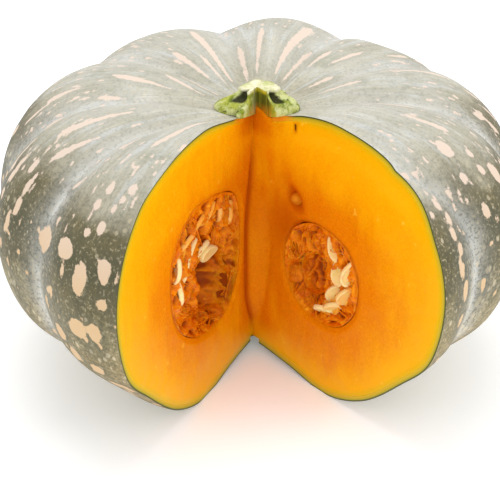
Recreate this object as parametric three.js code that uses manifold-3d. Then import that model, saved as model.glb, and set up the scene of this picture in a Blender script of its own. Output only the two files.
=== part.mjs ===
// A ribbed grey-green kabocha squash with one wedge cut out of its front, which opens the flesh and
// two seed pockets. Millimetres, +Z up. The origin is on the surface it rests on, in the middle of
// its outline. Azimuths are in degrees about the stem, from the front (-Y) towards +X.
import * as THREE from "three";
import { mergeVertices } from "three/addons/utils/BufferGeometryUtils.js";
import Module from "manifold-3d";

const wasm = await Module();
wasm.setup();

const GAP = 0.3; // between pieces that touch
const OVERRUN = 6; // how far a room cut for one piece runs out past the face it opens in
const STEM_AXIS = [-0.3, -8.9]; // x and y of the stem, so that the outline is centred on the origin

// The outline of a rib's crest, as radius and height, from the middle of the top to the middle below.
const CREST = [
  [0, 136], [19.5, 141], [55, 150.2], [94.2, 144.5], [120.8, 122.6], [131.7, 92.8],
  [125, 54.6], [107.7, 33.6], [81.2, 9.2], [55, -0.8], [26, 2.8], [0, 4.8],
];
const FURROWS = [-168, -128, -87, -55.5, -18, 17, 54, 88, 121, 153]; // azimuth of each furrow
const SWELL = [0, 0, 0, 0.5, 0, 0, 0, 0, -3, 1.8]; // how far the rib after each furrow stands out
const SWELL_FROM = [15, 70]; // heights between which that grows from nothing
const FURROW_DEPTH = 6;
const POLE_SHIFT = 4.5; // the furrows meet this far in front of the stem
const BENT_FURROW = { azimuth: 54, spread: 20, turn: -10 }; // this one bends forward near the stem
const RIND = 2.6; // thickness of the skin

// The wedge: a vertical edge near the stem, and the azimuths of its two flat sides.
const CUT_EDGE = [-2.8, -0.6];
const CUTS = { left: -27.7, right: 40.6 };
const CUT_LEVELS = { top: 200, bottom: -40 }; // heights that the wedge runs between

// Each pocket's mouth on its cut face, as distance from the wedge's edge and height, and the hollow
// that its pulp leaves open, as middle, half-width and half-height on the cut face, and depth.
const POCKETS = {
  left: {
    mouth: [
      [15, 96], [22, 103], [40, 109], [58, 109.5], [70, 103.5], [77, 95], [79.5, 82],
      [78, 65], [71, 49.5], [57, 39], [40, 35], [25, 39], [15.5, 52], [12, 73],
    ],
    depth: 42,
    hollow: { middle: [31, 57], half: [15, 18], depth: 27 },
  },
  right: {
    mouth: [
      [24, 72], [30, 85], [42, 92.5], [56, 93], [69, 86], [75, 72], [73, 55],
      [63, 43], [48, 39.5], [33, 44], [25, 56],
    ],
    depth: 30,
    hollow: { middle: [38, 60], half: [9.5, 12], depth: 17 },
  },
};
const PULP = { lip: 0.8, face: 7.5, lumps: 1.6 }; // depths of the pulp's face behind the cut

const STEM = {
  // Ridges that spread into feet: azimuth, half-width in degrees, reach of the foot, reach at the
  // top, and the heights between which the one falls to the other.
  ridges: [
    [-76, 26, 12.5, 3.6, 2, 13], [-33, 9, 8.5, 3, 2, 9], [52, 22, 12.5, 4.2, 6, 11],
    [122, 22, 9, 1.5, 3, 11], [187, 23, 9, 1.5, 3, 11],
  ],
  // height over the skin, core radius, shift towards +X
  levels: [
    [0, 10.6, 0], [2.4, 10.4, 0], [5.2, 9, 0], [7.6, 7.9, 0.1], [9.6, 7.2, 0.3],
    [11.8, 6.8, 0.5], [14, 7, 0.6],
  ],
  levelling: 16, // height over which the stem's rings turn level
  raggedness: 0.7,
  dip: 0.6, // depth of the middle of its end
};
const DOME = { radius: 10.5, top: 140, height: 8 }; // the flesh's rise into the stem
const FLAP = { away: 5, height: 88, behind: 2.2, width: 7, reach: 40 }; // a bulge beside the wedge's edge

const SEED = { length: 14.5, width: 8.6, thickness: 2.8 };
// Seeds as [distance from the edge, height, depth behind the cut, turn, tip, roll] in mm and degrees:
// turn is the tip's direction on the cut face, tip is how far it points inwards, roll is about its
// length. Between each seed and the next lies one more, sunk deeper, so that the heap holds together.
const SEEDS = {
  left: [
    [17.5, 88.5, 5, 95, 10, 62], [27, 94, 5, 75, 15, 50], [37, 98, 4.5, 120, 15, 40],
    [49.5, 98, 4, 150, 10, 45], [61, 93, 4, 150, 15, 40], [71.5, 84, 3, 100, 10, 60],
    [69, 70, 3.5, 80, 10, 55], [60, 76, 5.5, 110, 15, 45], [51.5, 84.5, 6, 130, 5, 30],
    [42, 78, 7, 150, 15, 35], [33, 73, 7, 190, 0, 20], [24, 80, 7.5, 145, 10, 20],
  ],
  right: [
    [68, 75, 2.5, 80, 5, 60], [66, 62, 2.5, 60, 5, 60], [57, 51, 3, 35, 5, 55],
    [50, 46, 3.5, 15, 5, 50], [56, 58, 5, 60, 10, 30], [58, 70, 5, 110, 10, 25],
    [56, 83, 4.5, 140, 10, 25],
  ],
};
const SUNK = 1.2; // how much deeper the seeds between lie
const LONE_SEED = [29.5, 100, 0.6, 205, 5, 12];
const DIMPLE = { length: 19, width: 12, depth: 2.6 };

const SIDES = { rind: 6, flesh: 4 }; // grid columns on each rib
const STEPS = { rind: 18, flesh: 12 }; // grid rows from top to bottom

const rad = THREE.MathUtils.degToRad;
const deg = THREE.MathUtils.radToDeg;
const smooth = THREE.MathUtils.smoothstep;

const MATERIALS = {
  rind: new THREE.MeshStandardMaterial({ color: 0x8a9282, roughness: 0.45, metalness: 0 }),
  flesh: new THREE.MeshStandardMaterial({ color: 0xffa005, roughness: 0.4, metalness: 0 }),
  stem: new THREE.MeshStandardMaterial({ color: 0xa3b04e, roughness: 0.7, metalness: 0 }),
  pulp: new THREE.MeshStandardMaterial({ color: 0xe07408, roughness: 0.35, metalness: 0 }),
  seeds: new THREE.MeshStandardMaterial({ color: 0xf0d895, roughness: 0.4, metalness: 0 }),
};

// The crest's outline as a smooth curve: its ends are mirrored over the axis, so it is level there.
function crestCurve() {
  const mirrored = [[-CREST[1][0], CREST[1][1]], ...CREST, [-CREST.at(-2)[0], CREST.at(-2)[1]]];
  return new THREE.CatmullRomCurve3(mirrored.map(([r, z]) => new THREE.Vector3(r, z, 0)));
}
const crest = crestCurve();

// Radius, height and outward direction on the crest at a share t of the way from top to bottom.
function crestAt(t) {
  const spans = CREST.length + 1;
  const share = (1 + t * (CREST.length - 1)) / spans;
  const point = crest.getPoint(share);
  const tangent = crest.getTangent(share);
  return { r: Math.max(point.x, 0), z: point.y, out: [-tangent.y, tangent.x] };
}

// How far the surface lies inside the crest: full in a furrow, nothing along a rib's middle.
function furrowAt(rib, share, r, z) {
  const round = Math.sin(Math.PI * share);
  const swell = SWELL[rib] * smooth(z, ...SWELL_FROM) * round * round;
  return smooth(r, 8, 60) * (FURROW_DEPTH * (1 - round) ** 1.15 - swell);
}

// The point of the surface on a rib, at a share of its width and t down its length.
function skinPoint(rib, share, t, inset) {
  const start = FURROWS[rib];
  const next = rib + 1 < FURROWS.length ? FURROWS[rib + 1] : FURROWS[0] + 360;
  const { r, z, out } = crestAt(t);
  const depth = furrowAt(rib, share, r, z) + inset;
  const radius = Math.max(r - out[0] * depth, 0);
  let around = start + (next - start) * share;
  const off = (around - BENT_FURROW.azimuth) / BENT_FURROW.spread;
  around += BENT_FURROW.turn * Math.exp(-off * off) * (1 - smooth(r, 85, 128)) * (t < 0.5 ? 1 : 0);
  const shift = Math.min(POLE_SHIFT / Math.max(radius, 1), 0.3);
  const azimuth = rad(around) - Math.asin(shift * Math.sin(rad(around)));
  return [radius * Math.sin(azimuth), -radius * Math.cos(azimuth), z - out[1] * depth];
}

// A closed surface from rings of points, all counter-clockwise about the way back to the start.
function loft(start, rings, end) {
  const n = rings[0].length;
  const points = [start, ...rings.flat(), end];
  const last = points.length - 1;
  const index = [];
  for (let j = 0; j < n; j++) {
    const k = (j + 1) % n;
    index.push(0, 1 + j, 1 + k);
    for (let i = 0; i + 1 < rings.length; i++) {
      const [a, b] = [1 + i * n, 1 + (i + 1) * n];
      index.push(a + j, b + j, b + k, a + j, b + k, a + k);
    }
    const z = 1 + (rings.length - 1) * n;
    index.push(last, z + k, z + j);
  }
  const geometry = new THREE.BufferGeometry();
  geometry.setAttribute("position", new THREE.Float32BufferAttribute(points.flat(), 3));
  return geometry.setIndex(index);
}

function solid(geometry) {
  const bare = geometry.clone();
  bare.deleteAttribute("normal");
  bare.deleteAttribute("uv");
  const merged = mergeVertices(bare, 1e-4);
  return new wasm.Manifold(
    new wasm.Mesh({
      numProp: 3,
      vertProperties: merged.attributes.position.array,
      triVerts: new Uint32Array(merged.index.array),
    }),
  );
}

function meshOf(body, name, material) {
  const made = body.getMesh();
  const geometry = new THREE.BufferGeometry();
  geometry.setAttribute("position", new THREE.Float32BufferAttribute(made.vertProperties, 3));
  geometry.setIndex(new THREE.BufferAttribute(made.triVerts, 1));
  const mesh = new THREE.Mesh(geometry, material);
  mesh.name = name;
  return mesh;
}

// The whole squash's shape, uncut, at an inset under its surface.
function wholeBody(inset, sides, steps) {
  const rings = [];
  for (let i = 1; i < steps; i++) {
    const ring = [];
    for (let rib = 0; rib < FURROWS.length; rib++) {
      for (let s = 0; s < sides; s++) {
        ring.push(skinPoint(rib, s / sides, i / steps, inset));
      }
    }
    rings.push(ring);
  }
  const top = crestAt(0).z - inset;
  const bottom = crestAt(1).z + inset;
  return solid(loft([0, 0, top], rings, [0, 0, bottom]));
}

// A point given on a cut face: along it from the wedge's edge, up, and behind it.
function onCut(side, away, height, behind) {
  const a = rad(CUTS[side]);
  const inwards = side === "left" ? -1 : 1;
  return [
    CUT_EDGE[0] + away * Math.sin(a) + inwards * behind * Math.cos(a),
    CUT_EDGE[1] - away * Math.cos(a) + inwards * behind * Math.sin(a),
    height,
  ];
}

// The wedge itself, with its point on the cut edge, well past the squash on the other sides.
function wedge() {
  const level = (z) => [
    onCut("left", 0, z, 0), onCut("left", 2 * CREST[5][0], z, 0), onCut("right", 2 * CREST[5][0], z, 0),
  ];
  const [upper, lower] = [level(CUT_LEVELS.top), level(CUT_LEVELS.bottom)];
  const middle = (ring) => [0, 1, 2].map((k) => (ring[0][k] + ring[1][k] + ring[2][k]) / 3);
  return solid(loft(middle(upper), [upper, lower], middle(lower)));
}

// Rings of a pocket's wall from near its deepest point out to the mouth, shrunk by a clearance.
function pocketRings(side, columns, clearance, sections) {
  const { mouth, depth } = POCKETS[side];
  const outline = new THREE.CatmullRomCurve3(
    mouth.map(([x, z]) => new THREE.Vector3(x, z, 0)),
    true,
  );
  const middle = [0, 1].map((k) => mouth.reduce((sum, p) => sum + p[k], 0) / mouth.length);
  const flat = [];
  const rings = [];
  for (let i = 1; i <= sections; i++) {
    const around = (Math.PI / 2) * (1 - i / sections);
    const ring = [];
    for (let j = 0; j < columns; j++) {
      const p = outline.getPoint(j / columns);
      const [dx, dz] = [p.x - middle[0], p.y - middle[1]];
      const share = Math.cos(around) - clearance / Math.hypot(dx, dz);
      ring.push([middle[0] + dx * share, middle[1] + dz * share]);
    }
    flat.push(ring);
    rings.push(ring.map(([x, z]) => onCut(side, x, z, (depth - clearance) * Math.sin(around))));
  }
  return { deepest: onCut(side, middle[0], middle[1], depth - clearance), rings, flat, middle };
}

// The room that a pocket takes out of the flesh, which runs out past its mouth.
function pocketRoom(side) {
  const { deepest, rings, flat, middle } = pocketRings(side, 24, 0, 5);
  const past = flat.at(-1).map(([x, z]) => onCut(side, x, z, -OVERRUN));
  const all = [...rings, past];
  const ordered = side === "left" ? all.map((ring) => ring.reverse()) : all;
  return solid(loft(deepest, ordered, onCut(side, middle[0], middle[1], -OVERRUN)));
}

// The pulp of a pocket: it fills the rind's side and leaves a hollow open towards the core.
function pulp(side, seeds) {
  const columns = 24;
  const wall = pocketRings(side, columns, GAP, 5);
  const { hollow } = POCKETS[side];
  const mouth = wall.flat.at(-1);
  const edge = mouth.map(([x, z]) => {
    const towards = Math.atan2(z - wall.middle[1], x - wall.middle[0]);
    return [0, 1].map((k) => hollow.middle[k] + hollow.half[k] * [Math.cos(towards), Math.sin(towards)][k]);
  });
  const rings = [...wall.rings.slice(0, -1)];
  const ringOf = (points, depthAt) => points.map(([x, z], j) => onCut(side, x, z, depthAt(x, z, j)));
  rings.push(ringOf(mouth, () => PULP.lip));
  for (const share of [0.3, 0.6, 0.85]) {
    const between = mouth.map((p, j) => [0, 1].map((k) => p[k] + (edge[j][k] - p[k]) * share));
    rings.push(
      ringOf(between, (x, z, j) => {
        const wide = Math.hypot(mouth[j][0] - edge[j][0], mouth[j][1] - edge[j][1]);
        const lumps = PULP.lumps * Math.min(wide / 12, 1) * Math.sin(0.55 * x + 2) * Math.sin(0.5 * z);
        return PULP.lip + (PULP.face - PULP.lip) * share ** 0.8 + lumps;
      }),
    );
  }
  for (const around of [0.25, 0.6, 1, 1.3]) {
    const scaled = edge.map((p) => [0, 1].map(
      (k) => hollow.middle[k] + (p[k] - hollow.middle[k]) * Math.cos(around),
    ));
    const depth = PULP.face + (hollow.depth - PULP.face) * Math.sin(around);
    rings.push(ringOf(scaled, () => depth));
  }
  const ordered = side === "left" ? rings.map((ring) => ring.reverse()) : rings;
  return solid(loft(wall.deepest, ordered, onCut(side, ...hollow.middle, hollow.depth))).subtract(seeds);
}

// One flat seed, pointed at its +X end, grown by a clearance.
function seedShape(clearance) {
  const geometry = new THREE.SphereGeometry(1, 4, 5).rotateZ(-Math.PI / 2);
  const position = geometry.attributes.position;
  for (let i = 0; i < position.count; i++) {
    const x = position.getX(i);
    const taper = 1 - 0.28 * x - 0.14 * x * x;
    position.setXYZ(
      i,
      x * (SEED.length / 2 + clearance),
      position.getY(i) * taper * (SEED.width / 2 + clearance),
      position.getZ(i) * (SEED.thickness / 2 + clearance),
    );
  }
  return geometry;
}

// Stands a shape on a cut face: +X turns to the seed's tip, and +Z faces out of the cut.
function placeOnCut(geometry, side, [away, height, behind, turn, tip, roll]) {
  const a = rad(CUTS[side]);
  const along = new THREE.Vector3(Math.sin(a), -Math.cos(a), 0);
  const up = new THREE.Vector3(0, 0, 1);
  const frame = new THREE.Matrix4().makeBasis(along, up, along.clone().cross(up));
  const turned = new THREE.Matrix4()
    .makeRotationZ(rad(turn))
    .multiply(new THREE.Matrix4().makeRotationY(rad(tip)))
    .multiply(new THREE.Matrix4().makeRotationX(rad(roll)));
  const [x, y, z] = onCut(side, away, height, behind);
  return geometry.applyMatrix4(frame.multiply(turned).setPosition(x, y, z));
}

// The listed seeds of a pocket and the sunken ones between them, as one body.
function seedHeap(side, clearance) {
  const places = [];
  SEEDS[side].forEach((place, i, all) => {
    places.push(place);
    if (i + 1 === all.length) return;
    const next = all[i + 1];
    const [x, z, behind] = [0, 1, 2].map((k) => (place[k] + next[k]) / 2);
    const turn = deg(Math.atan2(next[1] - place[1], next[0] - place[0]));
    places.push([x, z, behind + SUNK, turn, 0, 0]);
  });
  return places
    .map((place) => solid(placeOnCut(seedShape(clearance), side, place)))
    .reduce((heap, seed) => heap.add(seed));
}

function sphere(radii, centre, across, down) {
  const geometry = new THREE.SphereGeometry(1, across, down).rotateX(Math.PI / 2);
  return geometry.scale(...radii).translate(...centre);
}

// The rise of the flesh into the stem, grown by a clearance.
function dome(clearance) {
  const wide = DOME.radius + clearance;
  const radii = [wide, wide, DOME.height + clearance];
  return solid(sphere(radii, [0, 0, DOME.top - DOME.height], 16, 8));
}

// The woody stem: a lobed column that spreads into feet, standing on the skin round the dome.
function stem() {
  let seed = 7;
  const random = () => {
    seed = (seed * 16807) % 2147483647;
    return seed / 2147483647 - 0.5;
  };
  const columns = 40;
  const { ridges, levels, levelling, raggedness, dip } = STEM;
  const skin = (r) => {
    const t = THREE.MathUtils.clamp(r / CREST[1][0], 0, 2.5) / (CREST.length - 1);
    return crestAt(t).z;
  };
  const reachAt = (azimuth, up) => {
    const reaches = ridges.map(([middle, spread, foot, top, from, to]) => {
      const off = ((azimuth - middle + 540) % 360) - 180;
      return (top + (foot - top) * (1 - smooth(up, from, to))) * Math.exp(-((off / spread) ** 2));
    });
    return Math.max(...reaches);
  };
  const ringAt = ([up, core, shift], top) => {
    const ring = [];
    for (let j = 0; j < columns; j++) {
      const azimuth = (360 * j) / columns - 180;
      const r = core + reachAt(azimuth, up);
      const base = up === 0 ? skin(r) + GAP : skin(0) + up + (skin(r) - skin(0)) * (1 - up / levelling);
      const z = top ? skin(0) + up + raggedness * 2 * random() : base;
      ring.push([shift + r * Math.sin(rad(azimuth)), -r * Math.cos(rad(azimuth)), z]);
    }
    return ring;
  };
  const inner = (share) => {
    const ring = ringAt(levels[0], false);
    return ring.map(([x, y]) => [x * share, y * share, skin(Math.hypot(x, y) * share) + GAP]);
  };
  const rings = levels.map((level, i) => ringAt(level, i === levels.length - 1)).reverse();
  const [height, , shift] = levels.at(-1);
  const end = [shift, 0, skin(0) + height - dip];
  return solid(loft(end, [...rings, inner(0.5)], [0, 0, skin(0) + GAP]));
}

const cut = wedge();
const ground = solid(new THREE.BoxGeometry(400, 400, 40).translate(0, 0, -20));
const heaps = { left: seedHeap("left", 0), right: seedHeap("right", 0) };
const pulps = {
  left: pulp("left", seedHeap("left", GAP)),
  right: pulp("right", seedHeap("right", GAP)),
};

const holeRadius = DOME.radius + 1;
const rindHole = solid(
  new THREE.CylinderGeometry(holeRadius, holeRadius, 20, 16)
    .rotateX(Math.PI / 2)
    .translate(0, 0, crestAt(0).z),
);

const rind = wholeBody(0, SIDES.rind, STEPS.rind)
  .subtract(wholeBody(RIND, SIDES.flesh, STEPS.flesh))
  .subtract(rindHole)
  .subtract(ground)
  .subtract(cut);

const [flapX, flapY, flapZ] = onCut("right", FLAP.away, FLAP.height, FLAP.behind);
const flap = solid(sphere([FLAP.width, FLAP.width, FLAP.reach], [flapX, flapY, flapZ], 10, 10));
const dimple = solid(
  placeOnCut(
    sphere([DIMPLE.length / 2, DIMPLE.width / 2, DIMPLE.depth], [0, 0, 0], 14, 8),
    "right",
    LONE_SEED,
  ),
);

const flesh = wholeBody(RIND + GAP, SIDES.flesh, STEPS.flesh)
  .add(dome(0))
  .subtract(cut)
  .add(flap)
  .subtract(pocketRoom("left"))
  .subtract(pocketRoom("right"))
  .subtract(dimple)
  .subtract(solid(placeOnCut(seedShape(GAP), "right", LONE_SEED)));
const loneSeed = solid(placeOnCut(seedShape(0), "right", LONE_SEED));

const woodyStem = stem().subtract(dome(GAP)).subtract(cut);

const squash = new THREE.Group();
squash.position.set(...STEM_AXIS, 0);
squash.add(
  meshOf(rind, "rind", MATERIALS.rind),
  meshOf(flesh, "flesh", MATERIALS.flesh),
  meshOf(woodyStem, "stem", MATERIALS.stem),
  meshOf(pulps.left, "pulp_left", MATERIALS.pulp),
  meshOf(heaps.left, "seeds_left", MATERIALS.seeds),
  meshOf(pulps.right, "pulp_right", MATERIALS.pulp),
  meshOf(heaps.right, "seeds_right", MATERIALS.seeds),
  meshOf(loneSeed, "seed_under_film", MATERIALS.seeds),
);

export default squash;
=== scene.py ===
"""Looks of a cut kabocha squash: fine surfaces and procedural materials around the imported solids.

Shapes are worked out in millimetres about the stem's axis and written in metres in the frame.
"""

import math

import bmesh
import bpy
import numpy as np
from mathutils import Matrix, Vector


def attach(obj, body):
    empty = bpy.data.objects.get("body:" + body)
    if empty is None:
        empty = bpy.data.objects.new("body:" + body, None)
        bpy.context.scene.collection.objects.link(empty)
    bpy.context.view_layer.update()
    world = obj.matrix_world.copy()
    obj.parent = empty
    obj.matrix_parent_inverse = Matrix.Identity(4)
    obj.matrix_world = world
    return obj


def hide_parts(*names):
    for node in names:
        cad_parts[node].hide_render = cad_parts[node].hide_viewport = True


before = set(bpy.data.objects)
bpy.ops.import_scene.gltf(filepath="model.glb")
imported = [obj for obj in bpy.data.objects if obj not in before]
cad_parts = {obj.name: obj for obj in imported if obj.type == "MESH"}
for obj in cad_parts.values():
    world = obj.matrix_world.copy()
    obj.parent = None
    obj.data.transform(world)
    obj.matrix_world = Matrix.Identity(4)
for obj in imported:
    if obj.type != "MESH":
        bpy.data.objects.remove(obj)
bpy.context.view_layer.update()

GAP = 0.3  # between pieces that touch
STEM_AXIS = (-0.3, -8.9)
# radius and height of the ribs' crests, from the stem to the underside
CREST = [
    (0, 136), (19.5, 141), (55, 150.2), (94.2, 144.5), (120.8, 122.6), (131.7, 92.8),
    (125, 54.6), (107.7, 33.6), (81.2, 9.2), (55, -0.8), (26, 2.8), (0, 4.8),
]
FURROWS = [-168, -128, -87, -55.5, -18, 17, 54, 88, 121, 153]  # azimuths, 0 towards -Y
SWELL = [0, 0, 0, 0.5, 0, 0, 0, 0, -3, 1.8]  # how far each rib bulges
SWELL_FROM = (15, 70)  # heights between which the bulge grows
FURROW_DEPTH = 6
POLE_SHIFT = 4.5  # the ribs' middle lies this far in front of the stem's axis
BENT_FURROW = (54, 20, -10)  # azimuth, spread, turn near the stem
RIND = 2.6
CUT_EDGE = np.array([-2.8, -0.6, 0])  # where the two cut faces meet
CUTS = {"left": -27.7, "right": 40.6}  # azimuths of the cut faces
CUT_SEARCH = (-62.0, 25.0)  # degrees before and after a cut's azimuth within which the skin meets it
# how far the knife strayed into the flesh near the top: most, and the heights where it starts and ends
STRAY = {"left": (-2, 135, 148), "right": (7, 116, 146)}
STRAY_AWAY = 30  # it grows over this distance from the wedge's edge
STRAY_MARGINS = (11, 15)  # and fades towards the rind and towards the pocket
STRAY_AT_STEM = 0.16  # the share of it that the stem's cut has
RIM_FLAT = 3.5  # a cut face is smooth within this distance of the rind
# A pocket's mouth as distance from the wedge's edge and height, the depth of its wall, and its
# hollow: middle, half-sizes and depth
POCKETS = {
    "left": {
        "mouth": [
            (15, 96), (22, 103), (40, 109), (58, 109.5), (70, 103.5), (77, 95), (79.5, 82),
            (78, 65), (71, 49.5), (57, 39), (40, 35), (25, 39), (15.5, 52), (12, 73),
        ],
        "depth": 42,
        "hollow": ((31, 57), (15, 18), 27),
    },
    "right": {
        "mouth": [
            (24, 72), (30, 85), (42, 92.5), (56, 93), (69, 86), (75, 72), (73, 55),
            (63, 43), (48, 39.5), (33, 44), (25, 56),
        ],
        "depth": 30,
        "hollow": ((38, 60), (9.5, 12), 17),
    },
}
PULP_LIP, PULP_FACE, PULP_LUMPS = 0.8, 7.5, 1.6
THREADS = 46  # threads across each pocket
LIP_DEPTH, LIP_WIDTH = 1.3, 3.2  # of the rounded edge of a pocket's mouth
# The flesh rises in a dome under the stem.
DOME_RADIUS, DOME_TOP, DOME_HEIGHT = 10.5, 140, 8
EDGE_REACH = 2.86  # the wedge's edge lies this far from the stem's axis
RIND_FROM = DOME_RADIUS + 0.15
FIT = (0.9938, 0.9925, 0.996)  # keeps the finer skin inside the solid's box
AXIS_RADIUS = 4.5  # inside this a surface closes on a point of the axis

SEED_SIZE = (14.5, 8.6, 2.8)
# distance from the edge, height, depth behind the cut, turn, tip, roll
SEEDS = {
    "left": [
        (17.5, 88.5, 5, 95, 10, 62), (27, 94, 5, 75, 15, 50), (37, 98, 4.5, 120, 15, 40),
        (49.5, 98, 4, 150, 10, 45), (61, 93, 4, 150, 15, 40), (71.5, 84, 3, 100, 10, 60),
        (69, 70, 3.5, 80, 10, 55), (60, 76, 5.5, 110, 15, 45), (51.5, 84.5, 6, 130, 5, 30),
        (42, 78, 7, 150, 15, 35), (33, 73, 7, 190, 0, 20), (24, 80, 7.5, 145, 10, 20),
    ],
    "right": [
        (68, 75, 2.5, 80, 5, 60), (66, 62, 2.5, 60, 5, 60), (57, 51, 3, 35, 5, 55),
        (50, 46, 3.5, 15, 5, 50), (56, 58, 5, 60, 10, 30), (58, 70, 5, 110, 10, 25),
        (56, 83, 4.5, 140, 10, 25),
    ],
}
SUNK = 1.2  # the seeds between the listed ones lie this much deeper
SEED_GROWTH = (0.86, 0.22)  # smallest share of a seed's size, and the range above it
# how far each listed seed of the left pocket is veiled by its film
FILMS = [0.75, 0.7, 0.95, 1.0, 0.75, 0.3, 0.35, 0.3, 0.1, 0.1, 0.35, 0.65]
LONE_SEED = (29.5, 100, 0.6, 205, 5, 12)
LONE_SIZE, LONE_SUNK = 0.72, 1.75  # its share of a seed's size, and how much deeper it lies
DIMPLE = (19, 11, 2.4, -28)  # length, width, depth and turn of the hollow round it
DIMPLE_SHIFT = (-2.5, 1)
# On the right face: place along and up, half-sizes along and up, depth or strength
BASIN = (24, 88, 12, 20, 2.6)
SWELLING = (9, 92, 3.5, 16, 1.2)
RED_PATCH = (20, 84, 13, 18, 0.55)
# The nick's spot is painted near-black shade for a small cut; the face has no groove there.
NICK_SHADE = (25.5, 136.5, 0.9, 3, 3)
FLAP_HIGHLIGHT = (7, 110, 4, 11, 0.6)  # a painted highlight on the flap by the crease; its first number counts from the crease
WALL_SHADE = 0.85  # painted shade on the pockets' walls
UNDER_STEM = 24.0  # under the stem the flesh is coloured as if it lay this much deeper
CREASE_BEND = 7.5  # how far along the left face a flap of flesh pushes the crease between the faces

# azimuth, half-width in degrees, reach of the foot, reach at the top, heights of its fall
STEM_RIDGES = [
    (-70, 30, 11.5, 3.4, 4.5, 13.5), (-33, 9, 8.5, 3, 2, 9), (66, 32, 10.8, 3.6, 6, 13),
    (130, 20, 6.5, 1.5, 3, 11), (187, 23, 8, 1.5, 3, 11),
]
# height over the skin, core radius, shift towards +X
STEM_LEVELS = [
    (0, 10.6, 0), (2.4, 10.4, 0), (5.2, 9, 0), (7.6, 7.9, 0.1), (9.6, 7.2, 0.3),
    (11.8, 6.8, 0.5), (14, 7, 0.6),
]
STEM_LEVELLING = 16  # the stem's rings follow the skin's slope less and less up to this height
GROOVES = np.array([(-52, 11, 3.2), (47, 8, 3.0)])  # azimuth, half-width in degrees, depth

# Camera, about the stem's axis in mm, for a picture of 500 by 500
CAMERA_AT = (-4.0, -723.1, 489.5)
CAMERA_TO = (-4.0, 0, 58.4)
LENS, SENSOR = 119.67, 36

# name, place in metres, watts, size in metres
LAMPS = [
    ("soft_top", (-0.1, 0.35, 1.4), 6.5, 1.0),
    ("soft_left", (-1.2, -0.8, 0.9), 2.4, 0.9),
    ("soft_right", (1.4, -0.35, 0.75), 5.0, 0.9),
]
LAMPS_AIM = (0, 0, 0.06)
FLOOR_SIZE = 6.0

# Cream marks of the skin. A streak is azimuth and distance from the stem at its two ends, and width.
STREAKS = [
    (-154, 80, -149, 26, 4.5), (-135, 62, -132, 32, 3), (-101, 74, -94, 44, 4), (-110, 50, -101, 28, 3.5),
    (-69, 103, -65, 66, 4.5), (-63, 112, -59, 88, 4), (-52, 116, -50, 107, 3), (-95, 108, -95, 88, 3.5),
    (-88, 79, -86, 66, 3), (-38, 80, -34, 40, 3), (-50, 86, -50, 73, 3), (178, 70, 181, 31, 3),
    (160, 84, 163, 30, 5), (132, 72, 133, 49, 3.5), (142, 62, 143, 42, 3), (107, 63, 105, 101, 3),
    (75, 48, 78, 78, 3), (66, 74, 68, 98, 3.5), (125, 82, 125, 97, 3), (91, 109, 92, 118, 4),
    (-170, 60, -168, 26, 2), (-122, 46, -118, 22, 2), (-78, 60, -74, 30, 2), (120, 44, 121, 26, 2),
    (98, 52, 99, 30, 2), (152, 60, 153, 24, 2), (190, 58, 190, 28, 2.5), (-143, 48, -141, 26, 2),
]
# A blotch is azimuth, distance from the stem, width and length.
BLOTCHES = [
    (-52.5, 146, 11, 14), (-44, 142, 11, 10), (-50, 133, 3, 5), (-38, 153, 8, 17), (-32.5, 144, 7, 10),
    (-32, 149, 3, 4), (-38.5, 178, 11, 11), (-34, 176, 9, 10), (-47, 167, 3, 6),
    (-39, 109, 4, 7), (-33, 106, 4, 6), (-34, 112, 3, 4),
    (-40, 118, 4, 6), (-35, 117, 3, 4), (-36, 127, 5, 6), (-39, 131, 4, 4),
    (-64, 140, 4, 9), (-64, 129, 4, 10), (-67, 121, 4, 9), (-66, 150, 4, 10), (-74, 145, 4, 8),
    (-50, 178, 4, 12), (-46, 190, 9, 8), (-42, 199, 8, 8), (-36, 202, 8, 6), (-32, 160, 5, 5),
    (60, 102, 7, 11), (69, 128, 7, 12), (46, 121, 4, 7), (47, 129, 4, 6), (46, 137, 4, 7),
    (47, 145, 4, 7), (46, 154, 4, 9), (47, 168, 4, 9), (47, 186, 4, 9), (58, 118, 4, 6),
    (65, 121, 4, 6), (66, 112, 4, 5), (59, 137, 4, 8), (44, 101, 3, 5), (42, 124, 3, 4),
]
# Marks scattered over the back and sides, clear of those listed: how many, then the ranges of
# azimuth, distance from the stem, width and length. Small flecks gather round the shoulder instead.
SCATTERED = [
    (150, "uniform", (74, 290), (118, 245), (2.5, 8), (3, 11)),
    (420, "normal", (41, 332), (105, 20), (0.8, 1.7), (2, 6.5)),
    (260, "uniform", (41, 332), (125, 235), (0.9, 2.2), (1.6, 4.5)),
]
SCATTERED_STREAKS = (26, (78, 292), (96, 120), (8, 26), (2, 4.5))
LOW_BLOTCHES = (26, (-75, -28), (41, 74), (205, 250), (3, 9), (4, 9))

# The skin's colour by height, in shares of TONES_HEIGHT; the paler stops low down are partly painted light
# bounced up from the floor
SKIN_TONES_AND_BOUNCE = [
    (0.20, (0.39, 0.29, 0.13)), (0.42, (0.275, 0.218, 0.10)), (0.50, (0.26, 0.216, 0.108)),
    (0.58, (0.155, 0.124, 0.050)), (0.68, (0.088, 0.075, 0.024)), (0.78, (0.16, 0.130, 0.058)),
    (0.85, (0.44, 0.41, 0.31)), (0.93, (0.52, 0.505, 0.43)),
]
TONES_HEIGHT = 160.0

rad = math.radians


def hashed(ix, iy, iz, seed):
    """A repeatable number from 0 to 1 for each whole-number point."""
    h = (ix * 374761393 + iy * 668265263 + iz * 2147483647 + seed * 144665) & 0xFFFFFFFF
    h = ((h ^ (h >> 13)) * 1274126177) & 0xFFFFFFFF
    h = ((h ^ (h >> 16)) * 2246822519) & 0xFFFFFFFF
    return ((h ^ (h >> 15)) & 0xFFFFFF) / 0xFFFFFF


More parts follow.
